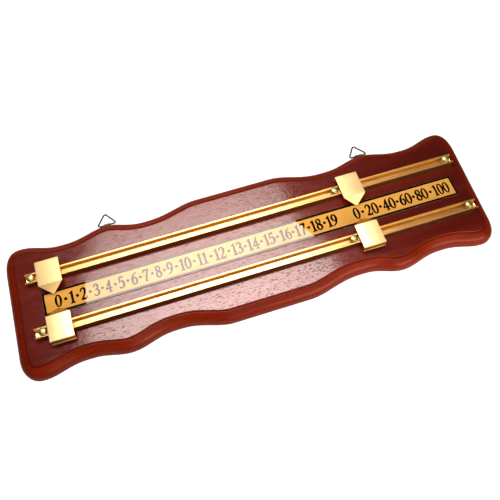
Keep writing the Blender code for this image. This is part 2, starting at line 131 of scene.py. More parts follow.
def loft(rings, close_ends=True):
    bm = bmesh.new()
    rows = [[bm.verts.new(p) for p in ring] for ring in rings]
    n = len(rows[0])
    for a, b in zip(rows, rows[1:]):
        for i in range(n):
            j = (i + 1) % n
            bm.faces.new((a[i], a[j], b[j], b[i]))
    if close_ends:
        bm.faces.new(list(reversed(rows[0])))
        bm.faces.new(rows[-1])
    return bm


def inset(points, dist):
    out = []
    n = len(points)
    for i in range(n):
        x0, y0 = points[i - 1]
        x1, y1 = points[i]
        x2, y2 = points[(i + 1) % n]
        ax, ay, bx, by = x1 - x0, y1 - y0, x2 - x1, y2 - y1
        la, lb = math.hypot(ax, ay), math.hypot(bx, by)
        nax, nay, nbx, nby = -ay / la, ax / la, -by / lb, bx / lb
        mx, my = nax + nbx, nay + nby
        k = mx * nax + my * nay
        out.append((x1 + mx * dist / k, y1 + my * dist / k))
    return out


def turned(profile, steps, x, y):
    bm = bmesh.new()
    rows = []
    for r, z in profile:
        if r < 1e-6:
            rows.append([bm.verts.new(v(x, y, z))])
        else:
            rows.append([bm.verts.new(v(x + r * math.cos(2 * math.pi * k / steps),
                                        y + r * math.sin(2 * math.pi * k / steps), z))
                         for k in range(steps)])
    for a, b in zip(rows, rows[1:]):
        for k in range(steps):
            m = (k + 1) % steps
            if len(a) == 1 and len(b) > 1:
                bm.faces.new((a[0], b[k], b[m]))
            elif len(b) == 1 and len(a) > 1:
                bm.faces.new((a[k], a[m], b[0]))
            elif len(a) > 1:
                bm.faces.new((a[k], a[m], b[m], b[k]))
    return bm


def arc(cx, cy, r, a0, a1, steps):
    return [(cx + r * math.cos(math.radians(a0 + (a1 - a0) * k / steps)),
             cy + r * math.sin(math.radians(a0 + (a1 - a0) * k / steps)))
            for k in range(steps + 1)]


def add(bm, other):
    """Copies another bmesh into bm and frees it."""
    mesh = bpy.data.meshes.new("join")
    other.to_mesh(mesh)
    other.free()
    bm.from_mesh(mesh)
    bpy.data.meshes.remove(mesh)


def cut(ob, tool_bm, operation="DIFFERENCE"):
    """Boolean with a throw-away tool, applied at once."""
    bmesh.ops.recalc_face_normals(tool_bm, faces=tool_bm.faces)
    mesh = bpy.data.meshes.new("tool")
    tool_bm.to_mesh(mesh)
    tool_bm.free()
    tool = bpy.data.objects.new("tool", mesh)
    bpy.context.scene.collection.objects.link(tool)
    mod = ob.modifiers.new("cut", "BOOLEAN")
    mod.operation, mod.object, mod.solver = operation, tool, "EXACT"
    apply_modifiers(ob)
    bpy.data.objects.remove(tool)
    bpy.data.meshes.remove(mesh)


def apply_modifiers(ob):
    bpy.context.view_layer.update()
    dg = bpy.context.evaluated_depsgraph_get()
    new = bpy.data.meshes.new_from_object(ob.evaluated_get(dg))
    old = ob.data
    ob.modifiers.clear()
    ob.data = new
    new.name = ob.name
    bpy.data.meshes.remove(old)


def bevelled(ob, width, segments=2, angle=35.0, smooth_deg=60.0):
    mod = ob.modifiers.new("edge", "BEVEL")
    mod.width, mod.segments = width * MM, segments
    mod.limit_method, mod.angle_limit = "ANGLE", math.radians(angle)
    mod.use_clamp_overlap = True
    mod.harden_normals = False
    apply_modifiers(ob)
    ob.data.shade_smooth()
    ob.data.set_sharp_from_angle(angle=math.radians(smooth_deg))


def rod(x, y, r, z0, z1, steps=24):
    return turned([(0, z0), (r, z0), (r, z1), (0, z1)], steps, x, y)


def ridden(ob, body, slot, *nodes):
    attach(ob, body)
    if nodes:
        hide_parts(*nodes)
    return ob


# ------------------------------------------------------------ material helpers
class Nodes:
    """Short-hand for building one material's node tree."""

    def __init__(self, name):
        self.mat = bpy.data.materials.new(name)
        self.mat.use_nodes = True
        self.tree = self.mat.node_tree
        self.shader = self.tree.nodes["Principled BSDF"]
        self.coord = self.tree.nodes.new("ShaderNodeTexCoord")

    def new(self, kind, **inputs):
        node = self.tree.nodes.new(kind)
        for key, value in inputs.items():
            self.put(node.inputs[key.replace("_", " ")], value)
        return node

    def put(self, socket, value):
        if hasattr(value, "is_output"):
            self.tree.links.new(value, socket)
        elif isinstance(value, (tuple, list)) and len(value) == 3 and socket.type == "RGBA":
            socket.default_value = (*value, 1.0)
        else:
            socket.default_value = value

    def spot(self, sx, sy, sz, dx=0.0, dy=0.0, dz=0.0):
        """Object coordinates, in scaled millimetres."""
        node = self.new("ShaderNodeMapping", Vector=self.coord.outputs["Object"])
        node.inputs["Scale"].default_value = (sx / MM, sy / MM, sz / MM)
        node.inputs["Location"].default_value = (dx, dy, dz)
        return node.outputs["Vector"]

    def noise(self, where, scale=1.0, detail=3.0, rough=0.5, distort=0.0):
        node = self.new("ShaderNodeTexNoise", Vector=where, Scale=scale, Detail=detail,
                        Roughness=rough, Distortion=distort)
        return node.outputs["Fac"]

    def ramp(self, value, *stops):
        node = self.new("ShaderNodeValToRGB", Fac=value)
        elements = node.color_ramp.elements
        while len(elements) < len(stops):
            elements.new(0.5)
        for element, (pos, colour) in zip(elements, stops):
            element.position = pos
            element.color = (*colour, 1.0) if isinstance(colour, tuple) else (colour,) * 3 + (1.0,)
        return node.outputs["Color"]

    def mapped(self, value, a, b, c, d):
        node = self.new("ShaderNodeMapRange")
        node.clamp = True
        for key, x in zip(("Value", "From Min", "From Max", "To Min", "To Max"), (value, a, b, c, d)):
            self.put(node.inputs[key], x)
        return node.outputs["Result"]

    def math(self, op, a, b=0.0):
        node = self.tree.nodes.new("ShaderNodeMath")
        node.operation = op
        self.put(node.inputs[0], a)
        self.put(node.inputs[1], b)
        return node.outputs["Value"]

    def mix(self, fac, a, b, kind="MIX"):
        node = self.tree.nodes.new("ShaderNodeMix")
        node.data_type, node.blend_type = "RGBA", kind
        for socket, value in ((node.inputs[0], fac), (node.inputs[6], a), (node.inputs[7], b)):
            self.put(socket, value)
        return node.outputs[2]

    def bump(self, height, distance, strength=1.0, normal=None):
        node = self.new("ShaderNodeBump", Height=height, Strength=strength)
        node.inputs["Distance"].default_value = distance * MM
        if normal is not None:
            self.put(node.inputs["Normal"], normal)
        return node.outputs["Normal"]

    def set(self, **inputs):
        for key, value in inputs.items():
            self.put(self.shader.inputs[key.replace("_", " ")], value)
        return self.mat


# ------------------------------------------------------------ materials
def wood(name, dark, mid, light, coat, coat_rough, pores=1.0, gloss=(0.34, 0.5), glow=0.5):
    """Straight-grained mahogany under lacquer: bands, fine figure and open pores along X."""
    n = Nodes(name)
    bands = n.noise(n.spot(0.0035, 0.055, 0.055), 1.0, 3.0, 0.55, 0.6)
    figure = n.noise(n.spot(0.02, 0.9, 0.9, 3.1), 1.0, 4.0, 0.6, 0.3)
    fine = n.noise(n.spot(0.10, 3.2, 3.2, 7.7), 1.0, 2.0, 0.6)
    pore = n.noise(n.spot(0.24, 1.25, 1.25, 1.3, 5.0), 1.0, 2.0, 0.5)
    base = n.ramp(bands, (0.30, dark), (0.52, mid), (0.72, light))
    streak = n.ramp(figure, (0.36, 0.70), (0.52, 1.0), (0.70, 1.15))
    base = n.mix(0.7, base, streak, "MULTIPLY")
    speck = n.ramp(fine, (0.35, 0.85), (0.62, 1.06))
    base = n.mix(0.5, base, speck, "MULTIPLY")
    hole = n.mapped(pore, 0.56, 0.68, 0.0, 1.0)
    base = n.mix(n.math("MULTIPLY", hole, 0.55 * pores), base, tuple(0.35 * c for c in dark))
    rough = n.mapped(figure, 0.3, 0.7, gloss[0], gloss[1])
    height = n.math("SUBTRACT", n.math("MULTIPLY", fine, 0.5), n.math("MULTIPLY", hole, 1.0 * pores))
    normal = n.bump(height, 0.05, 0.55)
    wave = n.noise(n.spot(0.02, 0.05, 0.05, 2.0), 1.0, 1.0)
    skin = n.noise(n.spot(0.35, 0.60, 0.60, 4.0), 1.0, 2.0, 0.6)
    coat_normal = n.bump(wave, 0.12, 0.6)
    coat_normal = n.bump(skin, 0.045, pores, coat_normal)
    coat_normal = n.bump(n.math("SUBTRACT", 1.0, hole), 0.025, pores, coat_normal)
    if coat > 0.4:
        coat = n.math("MULTIPLY", coat, n.math("SUBTRACT", 1.0, n.math("MULTIPLY", hole, 0.75 * pores)))
    return n.set(Base_Color=base, Roughness=rough, Normal=normal, Specular_IOR_Level=glow,
                 Specular_Tint=(1.0, 0.16, 0.10), Coat_Weight=coat,
                 Coat_Roughness=coat_rough, Coat_Normal=coat_normal, Coat_IOR=1.5)


def brass(name, base, pale, rough, coat=0.0, coat_rough=0.1, along=True, wear=1.0, dull=None, dents=0.08,
          drawn=0.0, metal=1.0):
    """Yellow brass with drawing lines or hand wear, finger marks and small dents."""
    n = Nodes(name)
    cloud = n.noise(n.spot(0.03, 0.05, 0.05), 1.0, 3.0, 0.6, 0.4)
    marks = n.noise(n.spot(0.35, 0.35, 0.35, 9.0), 1.0, 3.0, 0.6, 1.2)
    lines = n.noise(n.spot(0.06, 4.0, 4.0, 2.0) if along else n.spot(0.7, 5.0, 0.7, 2.0), 1.0, 3.0, 0.65)
    colour = n.ramp(cloud, (0.3, base), (0.7, pale))
    colour = n.mix(0.30 * wear, colour, n.ramp(marks, (0.35, 0.80), (0.6, 1.0)), "MULTIPLY")
    if dull is not None:
        colour = n.mix(n.mapped(marks, 0.56, 0.74, 0.0, 0.55), colour, dull)
    r = n.math("ADD", n.mapped(cloud, 0.3, 0.7, rough[0], rough[1]), n.mapped(marks, 0.35, 0.75, 0.0, 0.06 * wear))
    normal = n.bump(lines, 0.010, 0.35 * wear)
    normal = n.bump(cloud, dents, 0.5, normal)
    if drawn:
        tangent = n.tree.nodes.new("ShaderNodeTangent")
        tangent.direction_type, tangent.axis = "RADIAL", "X"
        n.set(Anisotropic=drawn, Tangent=tangent.outputs["Tangent"])
    return n.set(Base_Color=colour, Metallic=metal, Roughness=r, Normal=normal,
                 Coat_Weight=coat, Coat_Roughness=coat_rough)


def print_material(name, first, second, metallic, rough, flake=1.0, shine=0.5):
    """Screen print on metal under a clear film."""
    n = Nodes(name)
    cloud = n.noise(n.spot(0.03, 0.09, 0.09), 1.0, 3.0, 0.6)
    grain = n.noise(n.spot(3.0, 3.0, 3.0, 6.0), 1.0, 2.0, 0.6)
    lines = n.noise(n.spot(0.05, 2.6, 2.6, 1.0), 1.0, 3.0, 0.6)
    colour = n.ramp(cloud, (0.35, first), (0.65, second))
    colour = n.mix(0.22 * flake, colour, n.ramp(grain, (0.35, 0.75), (0.6, 1.1)), "MULTIPLY")
    r = n.mapped(lines, 0.3, 0.7, rough[0], rough[1])
    normal = n.bump(lines, 0.004, 0.3)
    film = n.noise(n.spot(0.02, 0.05, 0.05, 5.0), 1.0, 1.0)
    film_normal = n.bump(film, 0.03, 0.4)
    return n.set(Base_Color=colour, Metallic=metallic, Roughness=r, Normal=normal,
                 Specular_IOR_Level=shine, Coat_Weight=1.0, Coat_Roughness=0.015,
                 Coat_Normal=film_normal, Coat_IOR=1.5)


WOOD_FACE = wood("lacquered_wood_face", (0.050, 0.0030, 0.0016), (0.078, 0.0056, 0.0028),
                 (0.105, 0.0095, 0.0050), 1.0, 0.07, glow=0.20)
WOOD_EDGE = wood("lacquered_wood_edge", (0.108, 0.0060, 0.0005), (0.129, 0.0082, 0.0008),
                 (0.156, 0.0118, 0.0014), 0.34, 0.10, 0.40, (0.4, 0.55), 0.2)
WOOD_BACK = wood("lacquered_wood_back", (0.065, 0.0060, 0.0035), (0.095, 0.0110, 0.0065),
                 (0.130, 0.019, 0.011), 0.35, 0.35, 1.0, (0.5, 0.7))
WOOD_CUT = wood("bare_wood_in_the_cuts", (0.16, 0.065, 0.030), (0.23, 0.10, 0.048),
                (0.30, 0.14, 0.072), 0.0, 0.4, 0.6, (0.7, 0.85), 0.2)
GOLD_PRINT = print_material("gold_print", (0.58, 0.270, 0.050), (0.64, 0.305, 0.058), 0.0, (0.40, 0.48), 1.0, 0.0)
BLACK_PRINT = print_material("black_print", (0.0022, 0.0014, 0.001), (0.004, 0.0022, 0.0015), 0.0, (0.35, 0.5), 0.5, 0.0)
PLATE_EDGE = brass("plate_edge_metal", (0.55, 0.42, 0.2), (0.62, 0.48, 0.24), (0.35, 0.45))
RAIL_BRASS = brass("rail_brass", (0.62, 0.36, 0.105), (0.67, 0.40, 0.13), (0.27, 0.305), 1.0, 0.10, dents=0.0,
                   wear=0.2, metal=0.78)
# brighter, deep orange, partly diffuse copy of the rail brass for the inner walls: painted light standing in for
# light bounced around inside the channel
RAIL_INNER_PAINTED_BOUNCE = brass("rail_brass_inside_painted_bounce_light", (0.84, 0.42, 0.022), (0.90, 0.47, 0.030), (0.42, 0.50), dents=0.0, wear=0.2,
                   metal=0.55)
# darker, duller copy of the rail brass for the outer walls: painted shade, darkening them where they face the dark
# board
RAIL_PAINTED_SHADE_SIDE = brass("rail_brass_side_painted_shade", (0.52, 0.28, 0.07), (0.58, 0.33, 0.09), (0.32, 0.38), dents=0.0, wear=0.2)
POINTER_BRASS = brass("pointer_brass", (0.90, 0.66, 0.29), (0.94, 0.72, 0.35), (0.42, 0.48), along=False, dents=0.05,
                      metal=0.60)
# darker, duller copy of the pointer brass for the tops of the upper pointers: painted shade, plus heavier finger
# marks and wear
POINTER_WORN_AND_SHADED = brass("pointer_brass_worn_painted_shade", (0.60, 0.42, 0.18), (0.69, 0.50, 0.23), (0.54, 0.60), along=False, dents=0.05,
                     metal=0.45, wear=1.3)
# more orange, partly diffuse copy for the sloped tip and bends of the upper pointers: painted reflection of warm
# light on the tip
POINTER_SIDE_PAINTED_LIGHT = brass("pointer_brass_side_painted_reflection", (0.84, 0.56, 0.22), (0.90, 0.62, 0.26), (0.30, 0.36), along=False, dents=0.05,
                     metal=0.65)
POINTER_SHADE = brass("pointer_brass_shade", (0.70, 0.38, 0.085), (0.78, 0.44, 0.115), (0.28, 0.34), along=False,
                      dents=0.05)
# dark copy of the pointer brass for the steep skirts and cut edges: painted shade
POINTER_EDGE_PAINTED_SHADE = brass("pointer_brass_edge_painted_shade", (0.44, 0.25, 0.055), (0.54, 0.31, 0.08), (0.32, 0.38), along=False, dents=0.05)
SLIDER_BRASS = brass("slider_brass", (0.62, 0.40, 0.13), (0.72, 0.48, 0.17), (0.38, 0.46))
SCREW_BRASS = brass("screw_brass", (0.60, 0.52, 0.21), (0.70, 0.61, 0.28), (0.36, 0.44), along=False,
                    dull=(0.40, 0.33, 0.13))
RING_WIRE = brass("ring_wire", (0.058, 0.038, 0.014), (0.100, 0.072, 0.026), (0.38, 0.48), along=False,
                  dull=(0.036, 0.024, 0.012))
STRAP_METAL = brass("strap_metal", (0.150, 0.085, 0.040), (0.210, 0.130, 0.065), (0.40, 0.50), along=False,
                    dull=(0.09, 0.055, 0.030))


# ------------------------------------------------------------ board
def half_width(d, pts):
    if d <= pts[0][0]:
        return pts[0][1]
    for (xa, ya), (xb, yb) in zip(pts, pts[1:]):
        if d <= xb:
            high, low = max(ya, yb), min(ya, yb)
            t = (d - xa) / (xb - xa)
            if yb > ya:
                t = 1.0 - t
            return low + (high - low) * ((1.0 + math.cos(math.pi * t)) / 2.0) ** WAVE_EASE
    return pts[-1][1]


def quarter(edge, side):
    hollow_x, hollow_y, crest_x, crest_y, end, reach, power = CORNERS[(edge, side)]
    waves = list(WAVES[(edge, side)]) + [(hollow_x, hollow_y), (crest_x, crest_y)]
    count = 138
    pts = [(crest_x * k / count, half_width(crest_x * k / count, waves)) for k in range(count + 1)]
    steps = 30
    for k in range(1, steps + 1):
        t = math.pi / 2 * k / steps
        pts.append((crest_x + (end - crest_x) * math.sin(t) ** (2.0 / power),
                    crest_y - reach + reach * max(0.0, math.cos(t)) ** (2.0 / power)))
    return pts


def board_outline():
    upper = quarter("upper", "right")[::-1]
    upper += [(-x, y) for x, y in quarter("upper", "left")[1:]]
    lower = [(-x, -y) for x, y in quarter("lower", "left")[::-1]]
    lower += [(x, -y) for x, y in quarter("lower", "right")[1:]]
    # the two halves end on the same spots, so one of each pair goes
    pts = [(x + WAVE_SHIFT, y) for x, y in upper + lower]
    clean = []
    for p in pts:
        if not clean or math.hypot(p[0] - clean[-1][0], p[1] - clean[-1][1]) > 0.05:
            clean.append(p)
    if math.hypot(clean[0][0] - clean[-1][0], clean[0][1] - clean[-1][1]) < 0.05:
        clean.pop()
    return clean


def make_board():
    outline = board_outline()
    top, moulding = BOARD_THICK, BOARD_THICK - FACE_STEP
    levels = []
    for k in range(5):
        a = math.pi / 2 * k / 4
        levels.append((BACK_EASE * (1 - math.sin(a)), BACK_EASE * (1 - math.cos(a))))
    start = math.radians(ROUND_FROM)
    foot = FACE_INSET - GROOVE_W
    grow = foot / (1 - math.sin(start))
    for k in range(19):
        a = math.pi / 2 + (start - math.pi / 2) * k / 18
        levels.append((grow * (1 - math.sin(a)), moulding - ROUND_DOWN * (math.cos(start) - math.cos(a))))
    low = moulding - GROOVE_DEEP
    levels += [(foot + 0.10, moulding - 0.12), (foot + 0.30, low + 0.22), (foot + 0.50, low),
               (FACE_INSET - 0.35, low), (FACE_INSET - 0.12, low + 0.15), (FACE_INSET - 0.03, low + 0.5),
               (FACE_INSET, moulding + 0.2)]
    for k in range(1, 8):
        a = math.pi / 2 * k / 7
        levels.append((FACE_INSET + 1.15 * (1 - math.cos(a)), moulding + 0.2 + (FACE_STEP - 0.2) * math.sin(a)))
    levels += [(FACE_INSET + 1.6, top)]
    rings = []
    for d, z in levels:
        pts = inset(outline, d) if d > 0 else outline
        rings.append([v(x, y, z) for x, y in pts])
    board = mesh_object("wood_board", loft(rings), 40.0, (WOOD_EDGE, WOOD_FACE, WOOD_BACK, WOOD_CUT))
    tools = bmesh.new()
    for row in (1, -1):
        for x in SCREW_XS[row]:
            add(tools, rod(x, RAIL_MID + row * RAIL_ROW, SCREW_SHANK_R + SCREW_HOLE_PLAY,
                           top - SCREW_HOLE_DEPTH, top + 4))
    for x in HANGER_XS:
        hw = STRAP_W / 2 + 0.5
        add(tools, loft([[v(x - hw, y, -2), v(x + hw, y, -2), v(x + hw, y, POCKET_DEPTH),
                          v(x - hw, y, POCKET_DEPTH)] for y in (STRAP_END - 0.6, 110)]))
    cut(board, tools)
    tools = bmesh.new()
    for x in HANGER_XS:
        for y in STRAP_HOLES:
            add(tools, rod(x, y, BACK_SCREW_R + 0.25, -1, 10.5, 16))
    cut(board, tools)
    mesh = board.data
    for poly in mesh.polygons:
        z, up = poly.center.z / MM, poly.normal.z
        x, y = poly.center.x / MM, poly.center.y / MM
        slot = 0
        if up > 0.9 and z > top - 0.2:
            slot = 1
        elif up < -0.9 and z < 0.05:
            slot = 2
        for hx in HANGER_XS:
            if abs(x - hx) < STRAP_W / 2 + 0.52 and y > STRAP_END - 0.7 and 0.02 < z < 11 \
                    and (up < -0.9 or abs(poly.normal.x) > 0.99 or poly.normal.y > 0.99
                         or abs(x - hx) < 1.6):
                if not (up > 0.0 and z < 2.0 and y > 70):
                    slot = 3
        for row in (1, -1):
            for sx in SCREW_XS[row]:
                if math.hypot(x - sx, y - RAIL_MID - row * RAIL_ROW) < 2.25 and z < top - 0.05:
                    slot = 3
        poly.material_index = slot
    mesh.shade_smooth()
    mesh.set_sharp_from_angle(angle=math.radians(40))
    return ridden(board, "board", "lacquered_mahogany", "backboard")


# ------------------------------------------------------------ scale plate and its print
def round_rect(hx, hy, r, steps):
    pts = []
    for cx, cy, a0 in ((hx - r, hy - r, 0), (-hx + r, hy - r, 90),
                       (-hx + r, -hy + r, 180), (hx - r, -hy + r, 270)):
        pts += arc(PLATE_X + cx, PLATE_Y + cy, r, a0, a0 + 90, steps)
    return pts


def make_plate():
    z0, hx, hy = BOARD_THICK + GAP, PLATE_L / 2, PLATE_W / 2
    rings = []
    for dx, dy, z, r in ((0.0, 0.0, z0, PLATE_CORNER), (0.0, 0.0, PLATE_TOP - 0.16, PLATE_CORNER),
                         (0.05, 0.05, PLATE_TOP - 0.05, PLATE_CORNER - 0.05),
                         (0.17, 0.17, PLATE_TOP, PLATE_CORNER - 0.17),
                         (0.30, 0.30, PLATE_TOP, PLATE_CORNER - 0.30),
                         (PLATE_BORDER_END, PLATE_BORDER, PLATE_TOP, 0.6)):
        rings.append([v(x, y, z) for x, y in round_rect(hx - dx, hy - dy, r, 8)])
    plate = mesh_object("printed_plate", loft(rings), 30.0, (PLATE_EDGE, BLACK_PRINT, GOLD_PRINT))
    n = len(rings[0])
    for i, poly in enumerate(plate.data.polygons):
        if len(poly.vertices) > 4:
            poly.material_index = 2 if poly.normal.z > 0.5 else 0
        else:
            poly.material_index = 1 if i >= 3 * n else 0
    return ridden(plate, "board", "gold_scale_print", "scale_plate")


def spline(points, per=12):
    """Catmull-Rom curve through (x, y, half width) points."""
    p = np.array(points, float)
    p = np.vstack([2 * p[0] - p[1], p, 2 * p[-1] - p[-2]])
    out = []
    for i in range(1, len(p) - 2):
        a, b, c, d = p[i - 1], p[i], p[i + 1], p[i + 2]
        for t in np.linspace(0, 1, per, endpoint=False):
            out.append(0.5 * ((2 * b) + (c - a) * t + (2 * a - 5 * b + 4 * c - d) * t * t
                              + (3 * b - a - 3 * c + d) * t ** 3))
    out.append(p[-2])
    return np.array(out)


def bowl(cx, cy, rx, ry, heavy, light, facing=0.0, both=1.0, power=1.6, n=64):
    """Closed pen ring: heavy on the side it faces, and on the other side by the share in both."""
    out = []
    for k in range(n + 1):
        a = 2 * math.pi * k / n
        c = math.cos(a - facing)
        w = max(c, 0.0) ** power + both * max(-c, 0.0) ** power
        out.append((cx + rx * math.cos(a), cy + ry * math.sin(a), light + (heavy - light) * w))
    return np.array(out)


# each digit: width, then the strokes that make it
DIGITS = {
    "0": (7.6, [("pen", bowl(3.8, 7.9, 2.92, 7.55, 0.95, 0.34))]),
    "1": (5.6, [("box", [(2.05, 0.3), (3.95, 0.3), (3.95, 15.35), (2.05, 14.2)]),
                ("line", [(3.62, 15.45, 0.34), (2.6, 14.35, 0.46), (1.5, 13.6, 0.40), (0.35, 13.2, 0.24)]),
                ("box", [(0.35, 0.0), (5.6, 0.0), (5.6, 0.5), (0.35, 0.5)]),
                ("box", [(1.2, 0.4), (4.8, 0.4), (3.95, 1.5), (2.05, 1.5)])]),
    "2": (7.6, [("line", [(0.55, 11.6, 0.24), (1.0, 13.4, 0.52), (2.2, 15.05, 0.52), (3.7, 15.35, 0.52),
                          (5.2, 14.2, 0.90), (5.9, 12.0, 1.04), (5.5, 9.4, 0.86), (4.2, 6.3, 0.56),
                          (2.6, 3.6, 0.42), (0.9, 1.2, 0.42)]),
                ("line", [(0.9, 0.95, 0.5), (2.6, 1.05, 0.98), (4.6, 0.95, 0.95), (6.2, 0.95, 0.8)]),
                ("line", [(6.2, 0.9, 0.75), (6.85, 1.7, 0.45), (7.2, 3.3, 0.22)])]),
    "3": (7.4, [("line", [(0.75, 12.5, 0.26), (1.4, 14.3, 0.52), (3.0, 15.4, 0.42), (4.7, 14.6, 0.72),
                          (5.5, 12.5, 0.97), (5.0, 10.2, 0.74), (3.6, 8.75, 0.38), (2.5, 8.35, 0.28)]),
                ("line", [(2.5, 8.4, 0.28), (4.3, 8.0, 0.52), (5.7, 6.5, 0.92), (6.1, 4.2, 1.04),
                          (5.4, 1.9, 0.82), (3.7, 0.42, 0.42), (2.0, 0.62, 0.62), (0.7, 1.7, 0.50)])]),
    "4": (7.9, [("box", [(4.25, 0.2), (5.95, 0.2), (5.95, 15.7), (5.3, 15.7), (4.25, 13.7)]),
                ("line", [(5.5, 15.35, 0.32), (3.2, 10.2, 0.38), (0.6, 4.75, 0.36)]),
                ("box", [(0.2, 4.1), (7.85, 4.1), (7.85, 5.2), (0.2, 5.2)]),
                ("box", [(3.3, 0.0), (6.9, 0.0), (6.9, 0.45), (3.3, 0.45)])]),
    "5": (7.4, [("box", [(1.45, 13.8), (5.7, 13.8), (6.5, 15.75), (1.6, 15.75)]),
                ("line", [(1.75, 15.0, 0.36), (1.45, 11.8, 0.34), (1.15, 8.3, 0.32)]),
                ("line", [(1.15, 8.3, 0.32), (2.2, 9.4, 0.40), (3.7, 9.75, 0.50), (5.2, 8.8, 0.86),
                          (6.1, 6.3, 1.06), (5.8, 3.3, 1.0), (4.6, 1.2, 0.66), (2.9, 0.45, 0.44),
                          (1.6, 0.75, 0.60), (0.6, 1.9, 0.46)])]),
    "6": (7.6, [("line", [(6.8, 15.5, 0.22), (4.9, 14.3, 0.42), (3.0, 12.0, 0.72), (1.75, 9.0, 0.92),
                          (1.3, 6.0, 1.0), (1.32, 4.6, 0.96)]),
                ("pen", bowl(3.95, 4.85, 2.63, 4.5, 1.0, 0.36))]),
    "7": (7.4, [("box", [(0.9, 13.8), (7.0, 13.8), (7.1, 15.75), (0.9, 15.75)]),
                ("line", [(1.05, 15.5, 0.26), (0.85, 13.5, 0.30), (0.55, 12.0, 0.20)]),
                ("line", [(6.7, 14.9, 0.36), (5.4, 11.2, 0.62), (4.1, 7.2, 0.86), (3.35, 3.4, 0.98),
                          (3.1, 1.0, 0.98)]),
                ("box", [(2.12, 0.0), (4.08, 0.0), (4.08, 1.2), (2.12, 1.2)])]),
    "8": (7.6, [("pen", bowl(3.85, 12.05, 2.35, 3.42, 0.90, 0.36, math.radians(195), 0.62)),
                ("pen", bowl(3.8, 4.3, 2.75, 3.92, 1.0, 0.36, math.radians(12), 0.80)),
                ("line", [(1.72, 10.9, 0.55), (2.7, 9.35, 0.80), (3.9, 8.25, 0.95), (5.2, 7.05, 0.95),
                          (6.15, 5.6, 0.80)])]),
    "9": (7.6, [("line", [(0.8, 0.30, 0.22), (2.7, 1.5, 0.42), (4.6, 3.8, 0.72), (5.85, 6.8, 0.92),
                          (6.3, 9.8, 1.0), (6.28, 11.2, 0.96)]),
                ("pen", bowl(3.65, 10.95, 2.63, 4.5, 1.0, 0.36))]),
}


def digit_field(name, step, pad):
    """Signed distance of the digit's ink on a grid."""
    width, parts = DIGITS[name]
    xs = np.arange(-pad, width + pad + step, step)
    ys = np.arange(-pad, DIGIT_H + pad + step, step)
    X, Y = np.meshgrid(xs, ys)
    best = np.full(X.shape, 1e9)
    for kind, data in parts:
        if kind == "box":
            d = np.full(X.shape, -1e9)
            for i, (x0, y0) in enumerate(data):
                x1, y1 = data[(i + 1) % len(data)]
                ex, ey = x1 - x0, y1 - y0
                d = np.maximum(d, ((X - x0) * ey - (Y - y0) * ex) / math.hypot(ex, ey))
        else:
            pts = data if kind == "pen" else spline(data)
            d = np.full(X.shape, 1e9)
            for (x0, y0, h0), (x1, y1, h1) in zip(pts, pts[1:]):
                dx, dy = x1 - x0, y1 - y0
                t = np.clip(((X - x0) * dx + (Y - y0) * dy) / max(dx * dx + dy * dy, 1e-12), 0, 1)
                d = np.minimum(d, np.hypot(X - x0 - t * dx, Y - y0 - t * dy) - (h0 + (h1 - h0) * t))
        best = np.minimum(best, d)
    return xs, ys, best


def contours(xs, ys, f):
    """Closed zero lines of a grid, by marching squares, the ink on their left."""
    # four edges of a cell, and for each case the pairs of edges that a line joins
    pairs = {1: [(3, 0)], 2: [(0, 1)], 3: [(3, 1)], 4: [(1, 2)], 5: [(3, 0), (1, 2)], 6: [(0, 2)],
             7: [(3, 2)], 8: [(2, 3)], 9: [(2, 0)], 10: [(0, 1), (2, 3)], 11: [(2, 1)],
             12: [(1, 3)], 13: [(1, 0)], 14: [(0, 3)]}
    step, where = {}, {}
    ny, nx = f.shape
    for j in range(ny - 1):
        for i in range(nx - 1):
            case = ((f[j, i] < 0) + 2 * (f[j, i + 1] < 0) + 4 * (f[j + 1, i + 1] < 0) + 8 * (f[j + 1, i] < 0))
            for a, b in pairs.get(int(case), ()):
                keys = []
                for e in (a, b):
                    if e == 0:
                        key, p, q = ("h", j, i), (j, i), (j, i + 1)
                    elif e == 1:
                        key, p, q = ("v", j, i + 1), (j, i + 1), (j + 1, i + 1)
                    elif e == 2:
                        key, p, q = ("h", j + 1, i), (j + 1, i), (j + 1, i + 1)
                    else:
                        key, p, q = ("v", j, i), (j, i), (j + 1, i)
                    t = f[p] / (f[p] - f[q])
                    where[key] = (xs[p[1]] + (xs[q[1]] - xs[p[1]]) * t, ys[p[0]] + (ys[q[0]] - ys[p[0]]) * t)
                    keys.append(key)
                step.setdefault(keys[0], []).append(keys[1])
    loops = []
    while step:
        start = next(iter(step))
        line, key = [], start
        while True:
            line.append(where[key])
            nxt = step[key].pop()
            if not step[key]:
                del step[key]
            key = nxt
            if key == start or key not in step:
                break
        if len(line) > 5:
            loops.append(np.array(line))
    return loops


def thinned(line, tol):
    """Drops points of a closed line that lie within tol of the chords."""
    keep = [0]
    n = len(line)
    i = 0
    while i < n - 1:
        j = i + 1
        while j + 1 <= n - 1:
            a, b = line[i], line[j + 1]
            ab = b - a
            L = math.hypot(*ab)
            mid = line[i + 1:j + 1]
            off = np.abs((mid[:, 0] - a[0]) * ab[1] - (mid[:, 1] - a[1]) * ab[0]) / max(L, 1e-9)
            if off.max() > tol or L > 1.6:
                break
            j += 1
        keep.append(j)
        i = j
    if keep[-1] == n - 1 and math.hypot(*(line[-1] - line[0])) < 0.02:
        keep.pop()
    return line[keep]


